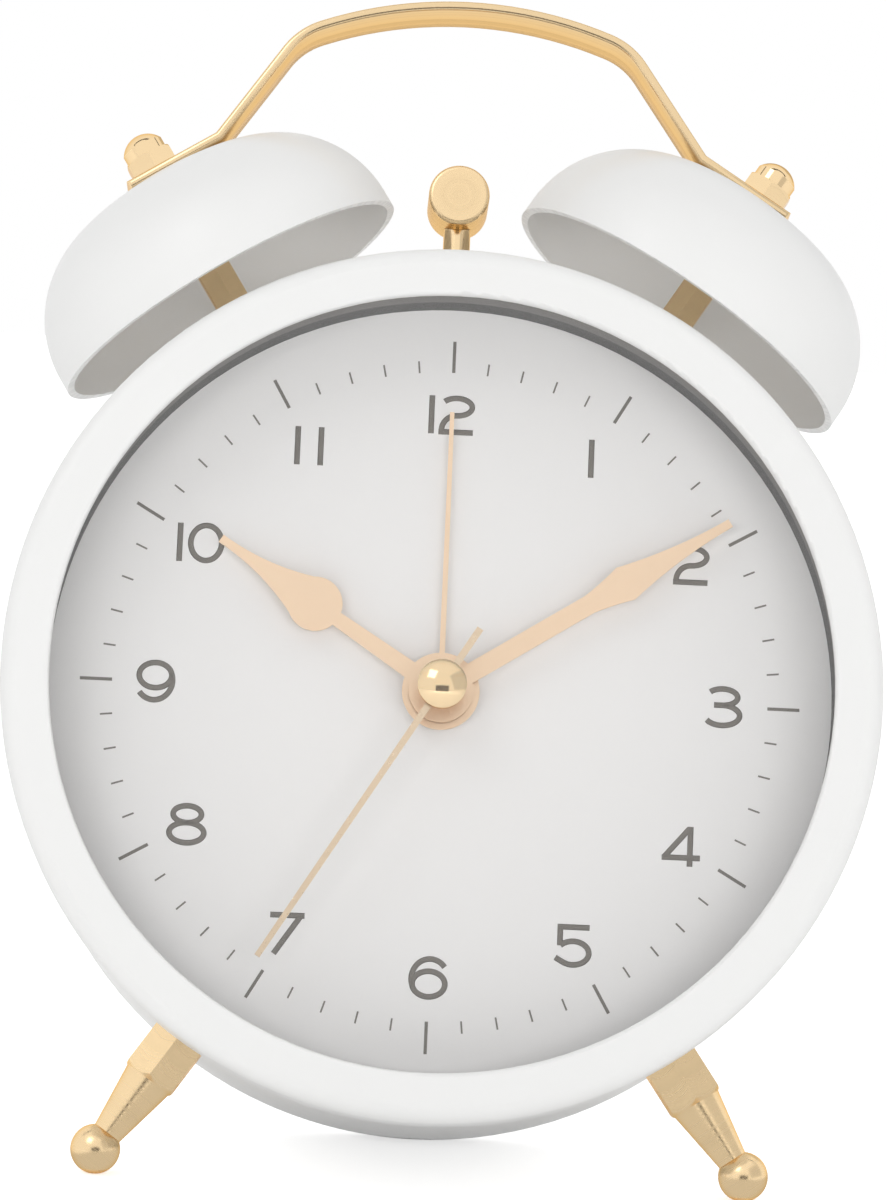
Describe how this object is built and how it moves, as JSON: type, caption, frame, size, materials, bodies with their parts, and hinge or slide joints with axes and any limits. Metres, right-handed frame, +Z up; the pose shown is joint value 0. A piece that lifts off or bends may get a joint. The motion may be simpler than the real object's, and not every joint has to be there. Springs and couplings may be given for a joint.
{
  "type": "twin bell alarm clock",
  "caption": "Round desk alarm clock leaning on turned legs, with bells, a strap handle, a striking hammer, hands behind a lens, geared movement and a hinged battery door.",
  "frame": {"origin": "centre of the bounding box on the table that the feet stand on", "axes": "+Z up, +X to the right as seen from the front, +Y towards the back"},
  "size_m": [0.1, 0.0736, 0.136],
  "materials": {
    "white_paint": "satin, sprayed",
    "brass": "turned and lacquered",
    "rose_hand": "stamped, satin",
    "steel": "plain",
    "lens": "clear",
    "dial_paint": "satin",
    "ring_grey": "matt moulded",
    "white_moulding": "fine moulded grain",
    "dark_moulding": "matt moulded",
    "acetal": "moulded",
    "copper_winding": "enamelled wire",
    "board_green": "solder resist",
    "cell_sleeve": "shrink sleeve"
  },
  "bodies": {
    "clock": {"case_shell": "white_paint", "bezel": "white_paint", "lens": "lens", "dial_ring": "ring_grey", "dial": "dial_paint", "chassis": "dark_moulding", "left_leg": "brass", "right_leg": "brass", "leg_nuts": "steel", "left_bell": "white_paint", "right_bell": "white_paint", "left_bell_post": "brass", "right_bell_post": "brass", "bell_post_nuts": "steel", "left_cap_nut": "brass", "right_cap_nut": "brass", "handle": "brass", "hammer_pivot_pin": "steel", "hammer_bracket": "steel", "bracket_screws": "steel", "bell_motor": "steel", "movement_plate": "acetal", "movement_cover": "dark_moulding", "movement_screws": "steel", "step_motor": "acetal", "drive_coil": "copper_winding", "stator": "steel", "circuit_board": "board_green", "battery_cell": "cell_sleeve", "battery_contacts": "steel", "back_cover": "white_moulding", "back_cover_screws": "steel"},
    "minute": {"minute_hand": "rose_hand", "centre_wheel": "brass"},
    "hour": {"hour_hand": "rose_hand", "hour_wheel": "acetal"},
    "second": {"second_hand": "brass", "centre_cap": "brass", "second_wheel": "acetal"},
    "third": {"third_wheel": "acetal"},
    "setting": {"minute_wheel": "acetal", "time_knob": "white_moulding"},
    "alarm": {"alarm_hand": "rose_hand", "alarm_wheel": "acetal"},
    "alarm_setting": {"alarm_pinion": "acetal", "alarm_knob": "white_moulding"},
    "hammer": {"hammer_head": "brass", "hammer_arm": "brass"},
    "eccentric": {"motor_eccentric": "acetal"},
    "door": {"battery_door": "white_moulding"},
    "switch": {"alarm_switch": "dark_moulding"}
  },
  "joints": [
    {"name": "minute_spin", "type": "hinge", "parent": "clock", "child": "minute", "pos_m": [0, -0.01332, 0.0556], "axis": [0, 0.971, -0.2391], "continuous": true},
    {"name": "hour_spin", "type": "hinge", "parent": "clock", "child": "hour", "pos_m": [0, -0.01332, 0.0556], "axis": [0, 0.971, -0.2391], "continuous": true},
    {"name": "second_spin", "type": "hinge", "parent": "clock", "child": "second", "pos_m": [0, -0.01332, 0.0556], "axis": [0, 0.971, -0.2391], "continuous": true},
    {"name": "third_spin", "type": "hinge", "parent": "clock", "child": "third", "pos_m": [0, -0.00871, 0.04211], "axis": [0, 0.971, -0.2391], "continuous": true},
    {"name": "setting_spin", "type": "hinge", "parent": "clock", "child": "setting", "pos_m": [-0.01126, 0.02873, 0.05194], "axis": [0, 0.971, -0.2391], "continuous": true},
    {"name": "alarm_spin", "type": "hinge", "parent": "clock", "child": "alarm", "pos_m": [0, -0.01332, 0.0556], "axis": [0, 0.971, -0.2391], "continuous": true},
    {"name": "alarm_setting_spin", "type": "hinge", "parent": "clock", "child": "alarm_setting", "pos_m": [0.01126, 0.02873, 0.05194], "axis": [0, 0.971, -0.2391], "continuous": true},
    {"name": "hammer_swing", "type": "hinge", "parent": "clock", "child": "hammer", "pos_m": [0, 0.00499, 0.07684], "axis": [0, 0.971, -0.2391], "range_deg": [-5.5, 5.5]},
    {"name": "motor_spin", "type": "hinge", "parent": "clock", "child": "eccentric", "pos_m": [0, 0.00798, 0.08898], "axis": [0, 0.971, -0.2391], "continuous": true},
    {"name": "door_hinge", "type": "hinge", "parent": "clock", "child": "door", "pos_m": [0, 0.02092, 0.02379], "axis": [-1, 0, 0], "range_deg": [0, 80]},
    {"name": "switch_slide", "type": "slide", "parent": "clock", "child": "switch", "axis": [1, 0, 0], "range_m": [0, 0.004]}
  ],
  "couplings": [
    {"joint": "hour_spin", "follows": "minute_spin", "ratio": 0.083333},
    {"joint": "second_spin", "follows": "minute_spin", "ratio": 60},
    {"joint": "third_spin", "follows": "minute_spin", "ratio": -8},
    {"joint": "setting_spin", "follows": "minute_spin", "ratio": -0.33333},
    {"joint": "alarm_setting_spin", "follows": "alarm_spin", "ratio": -2}
  ]
}
